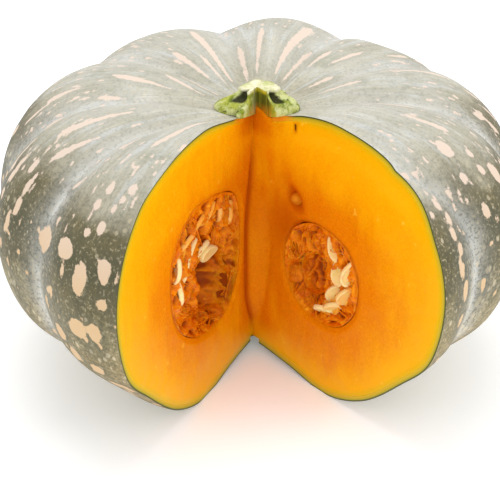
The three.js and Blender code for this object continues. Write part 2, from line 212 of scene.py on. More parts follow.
def noise(points, scale, seed=0):
    """Smooth noise from -1 to 1 at points in mm, with features about scale mm across."""
    p = np.asarray(points, float) / scale
    cell = np.floor(p).astype(np.int64)
    f = p - cell
    w = f * f * (3 - 2 * f)
    total = 0
    for dx in (0, 1):
        for dy in (0, 1):
            for dz in (0, 1):
                corner = hashed(cell[..., 0] + dx, cell[..., 1] + dy, cell[..., 2] + dz, seed)
                share = (w[..., 0] if dx else 1 - w[..., 0]) * (w[..., 1] if dy else 1 - w[..., 1])
                total = total + corner * share * (w[..., 2] if dz else 1 - w[..., 2])
    return 2 * total - 1


def layered(points, scale, layers=3, seed=0):
    """Noise with finer and weaker layers added."""
    return sum(noise(points, scale / 2**k, seed + k) / 2**k for k in range(layers))


def smooth(x, low, high):
    """0 at low and 1 at high, with a smooth step between them."""
    t = np.clip((x - low) / (high - low), 0, 1)
    return t * t * (3 - 2 * t)


def through(points, shares, closed=False):
    """Points of a centripetal curve through the given ones, at shares 0 to 1 of the way along."""
    p = np.asarray(points, float)
    n = len(p)
    spans = n if closed else n - 1
    at = np.asarray(shares, float) * spans
    k = np.floor(at).astype(int)
    if not closed:
        k = np.minimum(k, n - 2)
    w = (at - k)[..., None]
    if closed:
        q = np.vstack([p[-1], p, p[:2]])
    else:
        q = np.vstack([2 * p[0] - p[1], p, 2 * p[-1] - p[-2]])
    p0, p1, p2, p3 = q[k], q[k + 1], q[k + 2], q[k + 3]
    d0 = np.linalg.norm(p1 - p0, axis=-1, keepdims=True) ** 0.5
    d1 = np.linalg.norm(p2 - p1, axis=-1, keepdims=True) ** 0.5
    d2 = np.linalg.norm(p3 - p2, axis=-1, keepdims=True) ** 0.5
    t1 = ((p1 - p0) / d0 - (p2 - p0) / (d0 + d1) + (p2 - p1) / d1) * d1
    t2 = ((p2 - p1) / d1 - (p3 - p1) / (d1 + d2) + (p3 - p2) / d2) * d1
    a = 2 * p1 - 2 * p2 + t1 + t2
    b = -3 * p1 + 3 * p2 - 2 * t1 - t2
    return ((a * w + b) * w + t1) * w + p1


MIRRORED = [(-CREST[1][0], CREST[1][1]), *CREST, (-CREST[-2][0], CREST[-2][1])]


def crest_at(t):
    """Radius, height and outward direction of the crest, from its top at 0 to its bottom at 1."""
    share = (1 + np.asarray(t, float) * (len(CREST) - 1)) / (len(CREST) + 1)
    here = through(MIRRORED, share)
    step = 1e-4
    along = through(MIRRORED, share + step) - through(MIRRORED, share - step)
    along /= np.linalg.norm(along, axis=-1, keepdims=True)
    return np.maximum(here[..., 0], 0), here[..., 1], -along[..., 1], along[..., 0]


T_FINE = np.linspace(0, 1, 2001)
R_FINE, Z_FINE = crest_at(T_FINE)[:2]
S_FINE = np.concatenate([[0], np.cumsum(np.hypot(np.diff(R_FINE), np.diff(Z_FINE)))])
WIDEST = int(np.argmax(R_FINE))


def skin_height(r):
    """Height of the crest's top side at a radius."""
    return np.interp(r, R_FINE[:WIDEST], Z_FINE[:WIDEST])


def rib_of(psi):
    """Which rib an azimuth is on, and the share of its width."""
    edges = np.array([*FURROWS, FURROWS[0] + 360], float)
    turned = (np.asarray(psi, float) - edges[0]) % 360 + edges[0]
    rib = np.clip(np.searchsorted(edges, turned, side="right") - 1, 0, len(FURROWS) - 1)
    return rib, (turned - edges[rib]) / (edges[rib + 1] - edges[rib])


def furrow_shape(psi):
    """1 in a furrow and 0 on the crest of a rib."""
    return (1 - np.sin(np.pi * rib_of(psi)[1])) ** 1.15


def skin(psi, t, inset):
    """Points of the squash's surface, at an inset, for azimuths psi in degrees and shares t."""
    r, z, out_r, out_z = crest_at(t)
    rib, share = rib_of(psi)
    ridge = np.sin(np.pi * share)
    swell = np.array(SWELL)[rib] * smooth(z, *SWELL_FROM) * ridge**2
    depth = smooth(r, 8, 60) * (FURROW_DEPTH * (1 - ridge) ** 1.15 - swell) + inset
    radius = np.maximum(r - out_r * depth, 0)
    bend_at, spread, turn = BENT_FURROW
    wrapped = (psi + 180) % 360 - 180
    bend = turn * np.exp(-(((wrapped - bend_at) / spread) ** 2))
    around = psi + bend * (1 - smooth(r, 85, 128)) * (t < 0.5)
    shift = np.minimum(POLE_SHIFT / np.maximum(radius, 1), 0.3)
    azimuth = np.radians(around) - np.arcsin(shift * np.sin(np.radians(around)))
    return np.stack(
        [radius * np.sin(azimuth), -radius * np.cos(azimuth), z - out_z * depth], axis=-1
    )


def facing(side):
    """Directions of a cut face: along it from the wedge's edge, and into the flesh."""
    a = rad(CUTS[side])
    inwards = -1 if side == "left" else 1
    along = np.array([math.sin(a), -math.cos(a), 0])
    into = inwards * np.array([math.cos(a), math.sin(a), 0])
    return along, into


def on_cut(side, away, height, behind):
    """Points of a cut face, by distance from the wedge's edge, height and depth behind the cut."""
    along, into = facing(side)
    away, height, behind = np.broadcast_arrays(away, height, behind)
    up = np.array([0, 0, 1])
    return CUT_EDGE + away[..., None] * along + height[..., None] * up + behind[..., None] * into


def strayed(side, away, height):
    """How far the real cut lies behind its plane."""
    most, start, full = STRAY[side]
    return most * smooth(height, start, full) * smooth(away, 0, STRAY_AWAY)


def cut_psi(side, t, inset):
    """The azimuth at which each row of the surface meets a cut face."""
    along, into = facing(side)
    sign = 1 if side == "right" else -1
    low, high = (np.full(len(t), CUTS[side] + turn) for turn in CUT_SEARCH)
    for _ in range(40):
        mid = (low + high) / 2
        p = skin(mid, t, inset) - CUT_EDGE
        inside = sign * (p @ into - strayed(side, p @ along, p[:, 2])) > 0
        high = np.where(inside, mid, high)
        low = np.where(inside, low, mid)
    return (low + high) / 2


def sector(inset, columns, rows, from_radius):
    """Grid of points over the part of the surface that the wedge leaves, row by row from the top.

    Its first column lies on the right cut face and its last on the left one.
    """
    top = np.interp(from_radius, R_FINE[:WIDEST], T_FINE[:WIDEST])
    bottom = np.interp(AXIS_RADIUS, R_FINE[WIDEST:][::-1], T_FINE[WIDEST:][::-1])
    s = np.interp([top, bottom], T_FINE, S_FINE)
    t = np.interp(np.linspace(s[0], s[1], rows), S_FINE, T_FINE)
    first, last = cut_psi("right", t, inset), cut_psi("left", t, inset) + 360
    share = np.linspace(0, 1, columns)
    psi = first[:, None] + (last - first)[:, None] * share
    tt = np.broadcast_to(t[:, None], psi.shape)
    return skin(psi, tt, inset) * FIT, psi, tt


def dome(r, gap=0):
    """Height of the flesh's dome at a radius, or of a surface that stays a gap above it."""
    bulge = np.sqrt(np.clip(1 - (r / (DOME_RADIUS + gap)) ** 2, 0, 1))
    return DOME_TOP - DOME_HEIGHT + (DOME_HEIGHT + gap) * bulge


def spot(x, z, place_and_size):
    """A soft round mark on a cut face: its strength at x along and z up."""
    at_x, at_z, half_x, half_z, strength = place_and_size
    return strength * np.exp(-(((x - at_x) / half_x) ** 2) - ((z - at_z) / half_z) ** 2)


def grid_faces(rows, columns, start=0, flip=False):
    i, j = np.meshgrid(np.arange(rows - 1), np.arange(columns - 1), indexing="ij")
    a = start + i * columns + j
    quads = np.stack([a, a + columns, a + columns + 1, a + 1], axis=-1).reshape(-1, 4)
    return quads[:, ::-1] if flip else quads


def ring_faces(rings, columns, flip=False):
    """Faces between closed rings of points that follow each other."""
    i, j = np.meshgrid(np.arange(rings - 1), np.arange(columns), indexing="ij")
    k = (j + 1) % columns
    near, far = i * columns, (i + 1) * columns
    quads = np.stack([near + j, far + j, far + k, near + k], axis=-1).reshape(-1, 4)
    return quads[:, [0, 3, 2, 1]] if flip else quads


def fan(centre, ring, columns, flip=False):
    """Triangles from a centre to a closed ring, which is given by its first point."""
    pairs = [(ring + j, ring + (j + 1) % columns) for j in range(columns)]
    return [(centre, b, a) if flip else (centre, a, b) for a, b in pairs]


def place(points):
    """From millimetres about the stem to metres in the frame."""
    return (np.asarray(points, float) + np.array([*STEM_AXIS, 0])) * 0.001


def show(name, data, at=(0, 0, 0), aim=None):
    """An object in the scene, turned towards a point where one is given."""
    obj = bpy.data.objects.new(name, data)
    bpy.context.scene.collection.objects.link(obj)
    obj.location = at
    if aim is not None:
        obj.rotation_mode = "QUATERNION"
        obj.rotation_quaternion = (Vector(aim) - Vector(at)).to_track_quat("-Z", "Y")
    return obj


def make(name, points, faces, material, attributes=None, weld=False):
    """A smooth-shaded object from points in mm, lists of faces and attributes of its points."""
    mesh = bpy.data.meshes.new(name)
    polygons = [list(map(int, f)) for group in faces for f in group]
    mesh.from_pydata([tuple(p) for p in place(points)], [], polygons)
    for key, values in (attributes or {}).items():
        values = np.asarray(values, float)
        kind = "FLOAT" if values.ndim == 1 else "FLOAT_VECTOR"
        layer = mesh.attributes.new(key, kind, "POINT")
        layer.data.foreach_set("value" if values.ndim == 1 else "vector", values.ravel())
    obj = show(name, mesh)
    if weld:
        work = bmesh.new()
        work.from_mesh(mesh)
        bmesh.ops.remove_doubles(work, verts=work.verts, dist=2e-6)
        bmesh.ops.recalc_face_normals(work, faces=work.faces)
        work.to_mesh(mesh)
        work.free()
    mesh.polygons.foreach_set("use_smooth", [True] * len(mesh.polygons))
    mesh.materials.append(material)
    mesh.update()
    return obj


class Nodes:
    """Short calls for building one material's nodes."""

    def __init__(self, name):
        self.material = bpy.data.materials.new(name)
        self.material.use_nodes = True
        self.tree = self.material.node_tree
        self.shader = self.tree.nodes["Principled BSDF"]

    def add(self, kind, **settings):
        node = self.tree.nodes.new(kind)
        for key, value in settings.items():
            setattr(node, key, value)
        return node

    def link(self, out, into):
        self.tree.links.new(out, into)

    def put(self, socket, value):
        if hasattr(value, "is_output"):
            self.link(value, socket)
        else:
            socket.default_value = value

    def attribute(self, name, output="Fac"):
        return self.add("ShaderNodeAttribute", attribute_name=name).outputs[output]

    def position(self):
        return self.add("ShaderNodeTexCoord").outputs["Object"]

    def math(self, operation, a, b):
        node = self.add("ShaderNodeMath", operation=operation)
        self.put(node.inputs[0], a)
        self.put(node.inputs[1], b)
        return node.outputs[0]

    def plus(self, a, b):
        return self.math("ADD", a, b)

    def times(self, a, b):
        return self.math("MULTIPLY", a, b)

    def swing(self, value, amount):
        """A value round 0.5 as one round 0, times an amount."""
        return self.times(self.math("SUBTRACT", value, 0.5), amount)

    def ramp(self, value, low, high, to_low=0.0, to_high=1.0):
        """A smooth step of a value from low to high."""
        node = self.add("ShaderNodeMapRange", interpolation_type="SMOOTHSTEP")
        self.put(node.inputs["Value"], value)
        for key, number in zip(("From Min", "From Max", "To Min", "To Max"), (low, high, to_low, to_high)):
            node.inputs[key].default_value = number
        return node.outputs["Result"]

    def mix(self, share, a, b, blend="MIX"):
        node = self.add("ShaderNodeMix", data_type="RGBA", blend_type=blend)
        colours = [s for s in node.inputs if s.type == "RGBA"]
        self.put(node.inputs[0], share)
        for socket, value in zip(colours, (a, b)):
            self.put(socket, value if hasattr(value, "is_output") else (*value, 1))
        return [s for s in node.outputs if s.type == "RGBA"][0]

    def stops(self, value, colours):
        """A colour that runs through the given stops."""
        node = self.add("ShaderNodeValToRGB")
        self.put(node.inputs["Fac"], value)
        ramp = node.color_ramp
        while len(ramp.elements) < len(colours):
            ramp.elements.new(0.5)
        for element, (at, colour) in zip(ramp.elements, colours):
            element.position = at
            element.color = (*colour, 1)
        return node.outputs["Color"]

    def grey(self, value):
        node = self.add("ShaderNodeCombineColor")
        for socket in node.inputs:
            self.put(socket, value)
        return node.outputs["Color"]

    def scaled(self, vector, scale):
        node = self.add("ShaderNodeMapping")
        self.put(node.inputs["Vector"], vector)
        node.inputs["Scale"].default_value = scale
        return node.outputs["Vector"]

    def noise(self, vector, scale, detail=3.0, rough=0.55, distortion=0.0):
        node = self.add("ShaderNodeTexNoise")
        self.put(node.inputs["Vector"], vector)
        node.inputs["Scale"].default_value = scale
        node.inputs["Detail"].default_value = detail
        node.inputs["Roughness"].default_value = rough
        node.inputs["Distortion"].default_value = distortion
        return node.outputs["Fac"]

    def cells(self, vector, scale):
        node = self.add("ShaderNodeTexVoronoi", feature="F1")
        self.put(node.inputs["Vector"], vector)
        node.inputs["Scale"].default_value = scale
        return node.outputs["Distance"]

    def bump(self, height, strength, distance_mm):
        node = self.add("ShaderNodeBump")
        node.inputs["Strength"].default_value = strength
        node.inputs["Distance"].default_value = distance_mm * 0.001
        self.put(node.inputs["Height"], height)
        return node.outputs["Normal"]

    def finish(self, colour, roughness, normal=None, **constants):
        self.put(self.shader.inputs["Base Color"], colour)
        self.put(self.shader.inputs["Roughness"], roughness)
        if normal is not None:
            self.link(normal, self.shader.inputs["Normal"])
        for key, value in constants.items():
            self.shader.inputs[key.replace("_", " ")].default_value = value
        return self.material


def rind_material():
    n = Nodes("rind")
    place3 = n.position()
    grain = n.attribute("grain", "Vector")
    clouds = n.noise(place3, 34, 4, 0.6)
    streaks = n.noise(n.scaled(grain, (1.0, 0.03, 1.0)), 0.9, 3, 0.6)
    # Waxy light grey on top, dark olive round the shoulder, paler again below, partly as painted light
    # bounced up from the floor.
    level = n.plus(n.attribute("level"), n.swing(clouds, 30))
    ground = n.stops(n.math("DIVIDE", level, TONES_HEIGHT), SKIN_TONES_AND_BOUNCE)
    fine = n.noise(n.scaled(grain, (1.0, 0.02, 1.0)), 2.2, 2, 0.6)
    lines = n.plus(n.swing(streaks, 0.5), n.swing(fine, 0.5))
    ground = n.mix(1.0, ground, n.grey(n.plus(lines, 1.0)), "MULTIPLY")
    # Bluish wax drawn out from the stem, and duller olive patches between.
    high = n.ramp(n.attribute("level"), 124.0, 142.0)
    drawn = n.noise(n.scaled(grain, (0.16, 0.02, 0.16)), 1.0, 4, 0.65)
    wax = n.times(n.ramp(drawn, 0.5, 0.66), n.times(high, 0.6))
    ground = n.mix(wax, ground, (0.62, 0.64, 0.64))
    dull = n.times(n.ramp(n.noise(place3, 48, 5, 0.7), 0.5, 0.68), n.times(high, 0.55))
    dull = n.times(dull, n.ramp(n.attribute("near_stem"), 0.4, 0.0))
    ground = n.mix(dull, ground, (0.36, 0.36, 0.27))
    # Light bands along the furrows.
    worn = n.times(n.attribute("band"), n.ramp(n.noise(place3, 55, 3), 0.25, 0.6, 0.65, 1.0))
    ground = n.mix(n.times(worn, 0.95), ground, (0.68, 0.68, 0.65))
    # Fine dark and pale speckle.
    low = n.ramp(level, 105.0, 150.0, 1.0, 0.3)
    pits = n.noise(place3, 620, 2, 0.7)
    dark = n.times(n.ramp(pits, 0.36, 0.5, 1.0, 0.0), low)
    ground = n.mix(n.times(dark, 0.55), ground, (0.055, 0.055, 0.03))
    pale = n.times(n.ramp(pits, 0.56, 0.66), low)
    ground = n.mix(n.times(pale, 0.62), ground, (0.55, 0.47, 0.30))
    cells = n.cells(n.scaled(place3, (1, 1, 0.7)), 230)
    dots = n.math("SUBTRACT", cells, n.ramp(clouds, 0.35, 0.7, 0.0, 0.30))
    dot = n.times(n.ramp(dots, -0.02, 0.10, 1.0, 0.0), low)
    ground = n.mix(n.times(dot, 0.7), ground, (0.66, 0.56, 0.38))
    # Cream marks with ragged edges and a darker surround.
    ragged = n.swing(n.noise(place3, 330, 4, 0.7), 2.8)
    angular = n.swing(n.noise(place3, 130, 2), 5.0)
    ragged = n.plus(ragged, n.times(angular, n.ramp(n.attribute("level"), 130.0, 95.0)))
    edge = n.plus(n.attribute("mark"), ragged)
    around = n.times(n.ramp(edge, 0.2, 7.0, 0.5, 0.0), low)
    ground = n.mix(around, ground, (0.07, 0.07, 0.04))
    clean = n.ramp(edge, -0.3, 0.25, 1.0, 0.0)
    lit = n.mix(n.ramp(n.attribute("level"), 85.0, 140.0), (0.68, 0.46, 0.25), (0.71, 0.575, 0.475))
    colour = n.mix(n.times(clean, 0.95), ground, lit)
    # The cut edge of the skin: a dark line outside, then green turning to the yellow of the flesh.
    line = n.stops(n.attribute("across"), [
        (0.0, (0.05, 0.06, 0.01)), (0.2, (0.06, 0.08, 0.01)),
        (0.36, (0.40, 0.34, 0.008)), (0.9, (0.66, 0.43, 0.005)),
    ])
    bare = n.mix(n.attribute("near_stem"), line, (0.80, 0.26, 0.003))
    colour = n.mix(n.attribute("cut"), colour, bare)
    height = n.plus(n.times(n.noise(place3, 300, 3), 0.6), n.times(pits, 0.4))
    normal = n.bump(n.plus(height, n.times(streaks, 0.5)), 0.3, 0.4)
    rough = n.ramp(n.noise(place3, 80, 3), 0.3, 0.7, 0.48, 0.62)
    return n.finish(colour, rough, normal, Specular_IOR_Level=0.35)


def flesh_material():
    n = Nodes("flesh")
    place3 = n.position()
    clouds = n.noise(place3, 40, 4, 0.6)
    grainy = n.noise(place3, 900, 3, 0.6)
    fibres = n.noise(n.scaled(place3, (1, 1, 0.3)), 160, 3, 0.6)
    drawn = n.noise(n.scaled(place3, (1, 1, 0.22)), 75, 3, 0.6)
    shade = n.attribute("deep")
    for pattern, amount in ((clouds, 0.5), (fibres, 0.5), (drawn, 0.7)):
        shade = n.plus(shade, n.swing(pattern, amount))
    bright = n.mix(n.ramp(grainy, 0.3, 0.7), (0.87, 0.345, 0.001), (0.92, 0.405, 0.002))
    core = n.mix(n.ramp(grainy, 0.3, 0.7), (0.72, 0.185, 0.001), (0.82, 0.25, 0.001))
    colour = n.mix(n.ramp(shade, 0.1, 0.95), bright, core)
    colour = n.mix(n.ramp(n.attribute("red_and_shade"), 0, 1), colour, (0.54, 0.095, 0.001))
    # Towards the rind it turns yellow, then greenish.
    near = n.plus(n.attribute("under"), n.swing(n.noise(place3, 150, 3), 1.6))
    colour = n.mix(n.ramp(near, 0.5, 16.0, 0.8, 0.0), colour, (0.90, 0.44, 0.002))
    colour = n.mix(n.ramp(near, 0.2, 4.0, 0.7, 0.0), colour, (0.68, 0.44, 0.005))
    # The nick is painted near-black, as shade in a small cut that the face does not have.
    colour = n.mix(n.ramp(n.attribute("red_and_shade"), 1.1, 1.8), colour, (0.10, 0.018, 0.001))
    # Painted highlights: pale specks stand for light caught by wet points.
    wet_glints = n.ramp(n.noise(place3, 240, 2, 0.4), 0.71, 0.76, 0.0, 0.4)
    colour = n.mix(wet_glints, colour, (1.0, 0.60, 0.06))
    height = n.plus(grainy, n.times(n.noise(place3, 260, 3), 1.2))
    normal = n.bump(n.plus(height, fibres), 0.35, 0.35)
    rough = n.ramp(n.noise(place3, 70, 3), 0.35, 0.65, 0.3, 0.5)
    return n.finish(
        colour, rough, normal, Subsurface_Weight=0.15, Subsurface_Scale=0.003,
        Specular_IOR_Level=0.16, Specular_Tint=(1, 0.62, 0.12, 1),
    )


def stem_material():
    n = Nodes("stem")
    place3 = n.position()
    clouds = n.noise(place3, 150, 4, 0.65)
    green = n.mix(n.ramp(clouds, 0.38, 0.62), (0.16, 0.21, 0.012), (0.40, 0.42, 0.07))
    pale = n.ramp(n.noise(n.scaled(place3, (1, 1, 0.6)), 210, 4, 0.7), 0.42, 0.62, 0.0, 0.75)
    green = n.mix(pale, green, (0.66, 0.68, 0.34))
    spots = n.ramp(n.noise(place3, 560, 2), 0.63, 0.70, 0.0, 0.85)
    green = n.mix(spots, green, (0.05, 0.05, 0.03))
    # Painted shade: the flutes go near black.
    hollow = n.ramp(n.attribute("flute_shade"), 0.15, 0.75, 0.0, 0.94)
    colour = n.mix(hollow, green, (0.012, 0.011, 0.003))
    straw = n.mix(n.ramp(n.noise(place3, 420, 3, 0.6), 0.3, 0.7), (0.62, 0.60, 0.36), (0.84, 0.80, 0.58))
    straw = n.mix(n.ramp(n.noise(place3, 170, 3), 0.45, 0.7, 0.0, 0.7), straw, (0.44, 0.49, 0.14))
    colour = n.mix(n.attribute("end"), colour, straw)
    # The knife's face: yellow under the top, dark olive fibres, then orange-brown, and the cut
    # feet outside them yellow-green.
    inner = n.stops(n.attribute("level"), [
        (0.0, (0.60, 0.22, 0.006)), (0.3, (0.34, 0.15, 0.006)), (0.52, (0.09, 0.085, 0.006)),
        (0.84, (0.10, 0.10, 0.006)), (0.93, (0.50, 0.40, 0.01)), (1.0, (0.62, 0.52, 0.08)),
    ])
    lines = n.ramp(n.noise(n.scaled(place3, (1, 1, 0.03)), 1000, 2), 0.46, 0.62, 0.0, 0.65)
    inner = n.mix(lines, inner, (0.24, 0.23, 0.02))
    gaps = n.ramp(n.noise(n.scaled(place3, (1, 1, 0.02)), 700, 2), 0.54, 0.64, 0.0, 0.8)
    inner = n.mix(gaps, inner, (0.035, 0.03, 0.004))
    outer = n.mix(n.ramp(clouds, 0.35, 0.65), (0.30, 0.32, 0.02), (0.52, 0.44, 0.05))
    face = n.mix(n.ramp(n.attribute("reach"), 8.5, 13.0), inner, outer)
    colour = n.mix(n.attribute("cut"), colour, face)
    normal = n.bump(n.noise(n.scaled(place3, (1, 1, 0.3)), 500, 3), 0.3, 0.3)
    return n.finish(colour, n.ramp(clouds, 0.3, 0.7, 0.6, 0.85), normal, Specular_IOR_Level=0.15)


def pulp_material():
    n = Nodes("pulp")
    place3 = n.position()
    folds = n.noise(place3, 230, 4, 0.6, 0.6)
    colour = n.mix(n.ramp(folds, 0.32, 0.68), (0.70, 0.14, 0.001), (0.94, 0.30, 0.002))
    # Painted shade: fold bottoms and deep pulp turn dark red-brown.
    colour = n.mix(n.ramp(n.attribute("red_and_shade"), 0.0, 0.9), colour, (0.36, 0.05, 0.001))
    # Painted highlights: pale yellow specks on the lit crests, kept off the shaded parts.
    pale = n.ramp(n.noise(place3, 420, 3), 0.58, 0.70, 0.0, 0.5)
    pale = n.times(pale, n.ramp(n.attribute("red_and_shade"), 0.5, 0.1))
    colour = n.mix(pale, colour, (1.0, 0.56, 0.02))
    normal = n.bump(n.noise(place3, 480, 4, 0.65, 0.8), 0.5, 0.7)
    return n.finish(
        colour, n.ramp(folds, 0.3, 0.7, 0.22, 0.42), normal, Subsurface_Weight=0.2,
        Subsurface_Scale=0.002, Specular_IOR_Level=0.4, Specular_Tint=(1, 0.7, 0.25, 1),
    )


def seed_material():
    n = Nodes("seed")
    place3 = n.position()
    film = n.attribute("film")
    clouds = n.noise(place3, 260, 4, 0.65)
    body = n.mix(n.ramp(clouds, 0.3, 0.7), (0.84, 0.62, 0.17), (0.95, 0.83, 0.42))
    colour = n.mix(n.times(n.attribute("rim"), 0.7), body, (0.98, 0.86, 0.46))
    veil = n.plus(film, n.swing(clouds, 1.1))
    colour = n.mix(n.ramp(veil, 0.25, 0.85, 0.0, 0.9), colour, (0.90, 0.38, 0.006))
    colour = n.mix(n.ramp(film, 1.1, 1.7), colour, (0.62, 0.19, 0.004))
    normal = n.bump(n.noise(place3, 700, 3), 0.25, 0.2)
    return n.finish(
        colour, n.ramp(clouds, 0.3, 0.7, 0.28, 0.45), normal, Subsurface_Weight=0.15,
        Subsurface_Scale=0.0015, Specular_IOR_Level=0.45, Specular_Tint=(1, 0.85, 0.55, 1),
    )


def mark_distance(azimuth, s, radius):
    """Signed distance in mm from the edge of the nearest cream mark, less than 0 inside."""
    rng = np.random.default_rng(41)
    streaks, blotches = list(STREAKS), list(BLOTCHES)
    count, around, starts, lengths, widths = SCATTERED_STREAKS
    for _ in range(count):
        a, start = rng.uniform(*around), rng.uniform(*starts)
        end = (a + rng.uniform(-1, 1), start + rng.uniform(*lengths))
        streaks.append((a, start, *end, rng.uniform(*widths)))
    for count, spread, around, down, widths, lengths in SCATTERED:
        for _ in range(count):
            a, centre = rng.uniform(*around), getattr(rng, spread)(*down)
            blotches.append((a, centre, rng.uniform(*widths), rng.uniform(*lengths)))
    count, left, right, down, widths, lengths = LOW_BLOTCHES
    for _ in range(count):
        a = rng.choice([rng.uniform(*left), rng.uniform(*right)])
        blotches.append((a, rng.uniform(*down), rng.uniform(*widths), rng.uniform(*lengths)))
    best = np.full(azimuth.shape, 30.0)
    for a0, s0, a1, s1, width in streaks:
        if s0 < s1:
            a0, s0, a1, s1 = a1, s1, a0, s0
        x = np.radians((azimuth - a0 + 180) % 360 - 180) * radius
        x1 = math.radians(a1 - a0) * radius
        along = np.clip((s - s0) / (s1 - s0), 0, 1)
        taper = smooth(along, -0.12, 0.2) * (1 - along) ** 0.8 + 0.16
        gone = np.hypot(x - x1 * along, s - (s0 + (s1 - s0) * along))
        best = np.minimum(best, gone - width / 2 * taper)
    for a, centre, width, length in blotches:
        x = np.radians((azimuth - a + 180) % 360 - 180) * radius
        shape = np.hypot(x / (width / 2), (s - centre) / (length / 2))
        best = np.minimum(best, (shape - 1) * min(width, length) / 2)
    return best


def skin_facts(points, psi, t):
    """Attributes that the rind's material reads."""
    azimuth = np.degrees(np.arctan2(points[..., 0], -points[..., 1]))
    radius = np.hypot(points[..., 0], points[..., 1])
    s = np.interp(t, T_FINE, S_FINE)
    z = points[..., 2]
    reach = smooth(radius, 25, 80) * smooth(s, 260, 200)
    band = np.clip(furrow_shape(psi) * 1.1 - 0.15, 0, 1) ** 2 * reach
    grain = np.stack([np.radians(azimuth) * 90, s, np.zeros_like(s)], axis=-1)
    near_stem = smooth(radius, 24, 15) * smooth(z, 60, 90)
    return {
        "level": z.ravel(), "band": band.ravel(), "grain": grain.reshape(-1, 3),
        "mark": mark_distance(azimuth, s, radius).ravel(), "near_stem": near_stem.ravel(),
        "cut": np.zeros(z.size), "across": np.zeros(z.size),
    }


def make_rind(material):
    columns, rows = ((460, 200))
    outer, psi, t = sector(0, columns, rows, RIND_FROM)
    flat = outer.reshape(-1, 3)
    dents = layered(flat, 26, 3, 5) * 0.5 + layered(flat, 5, 2, 9) * 0.07
    across = np.minimum(psi - psi[:, :1], psi[:, -1:] - psi).ravel()
    dents = dents * smooth(across, 0, 4) * smooth(flat[:, 2], 0, 6)
    normal = np.cross(np.gradient(outer, axis=1), np.gradient(outer, axis=0)).reshape(-1, 3)
    normal /= np.linalg.norm(normal, axis=1, keepdims=True)
    if (normal * (flat - [0, 0, 70])).sum() < 0:
        normal = -normal
    flat = flat - normal * (np.abs(dents) * 0.8)[:, None]
    flat[:, 2] = np.maximum(flat[:, 2], 0)
    inner = sector(RIND, columns, rows, RIND_FROM)[0].reshape(-1, 3)
    n = rows * columns
    points = np.vstack([flat, inner])
    facts = skin_facts(flat.reshape(rows, columns, 3), psi, t)
    facts = {k: np.concatenate([v, v]) for k, v in facts.items()}
    faces = [grid_faces(rows, columns), grid_faces(rows, columns, n, flip=True)]
    # The cut edges get points of their own, so that their colour stays off the skin.
    for column, flip in ((0, True), (columns - 1, False)):
        ids = np.arange(rows) * columns + column
        start = len(points)
        points = np.vstack([points, points[ids], points[ids + n]])
        for key, values in facts.items():
            extra = np.concatenate([values[ids], values[ids]])
            if key == "cut":
                extra = np.ones_like(extra)
            if key == "across":
                extra = np.repeat([0.0, 1.0], rows)
            facts[key] = np.concatenate([values, extra])
        faces.append(grid_faces(2, rows, start, flip=flip))
    for row, flip in ((0, False), (rows - 1, True)):
        ids = row * columns + np.arange(columns)
        strip = np.stack([ids[:-1], ids[1:], ids[1:] + n, ids[:-1] + n], axis=-1)
        faces.append(strip[:, ::-1] if flip else strip)
    obj = make("rind_skin", points, faces, material, facts)
    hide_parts("rind")
    return obj


def pocket_middle(side):
    return np.mean(POCKETS[side]["mouth"], axis=0)


def mouth_radius(side, theta):
    """Distance of a pocket's rim from its middle, in the direction theta."""
    rim = through(POCKETS[side]["mouth"], np.linspace(0, 1, 721)[:-1], closed=True)
    d = rim - pocket_middle(side)
    angle = np.arctan2(d[:, 1], d[:, 0])
    order = np.argsort(angle)
    return np.interp(theta, angle[order], np.hypot(*d.T)[order], period=2 * np.pi)


def face_relief(side, x, z):
    """How far a cut face stands out of its plane."""
    p = np.stack([x, z, np.full_like(x, 40.0 if side == "left" else 90.0)], axis=-1)
    streaky = np.stack([x, z * 0.25, p[..., 2]], axis=-1)
    out = layered(p, 22, 3, 3) * 0.45 + layered(streaky, 5, 2, 6) * 0.14 + noise(p, 2.2, 8) * 0.05
    if side == "right":
        # A shallow basin round the lone seed, and the seed's own dimple.
        out = out - spot(x, z, BASIN)
        at_x, at_z, half_x, half_z, height = SWELLING
        out = out + height * np.exp(-(((x - at_x) / half_x) ** 2) - ((z - at_z) / half_z) ** 4)
        length, width, depth, turn = DIMPLE
        from_x = x - LONE_SEED[0] - DIMPLE_SHIFT[0]
        from_z = z - LONE_SEED[1] - DIMPLE_SHIFT[1]
        u = from_x * math.cos(rad(turn)) + from_z * math.sin(rad(turn))
        v = -from_x * math.sin(rad(turn)) + from_z * math.cos(rad(turn))
        q = (u / (length / 2)) ** 2 + (v / (width / 2)) ** 2
        out = out - depth * np.exp(-1.4 * q**1.3)
    return out


def crease_at(z):
    """How far along the left face the crease between the two faces lies."""
    return CREASE_BEND * smooth(z, 128, 70) * smooth(z, 8, 40)


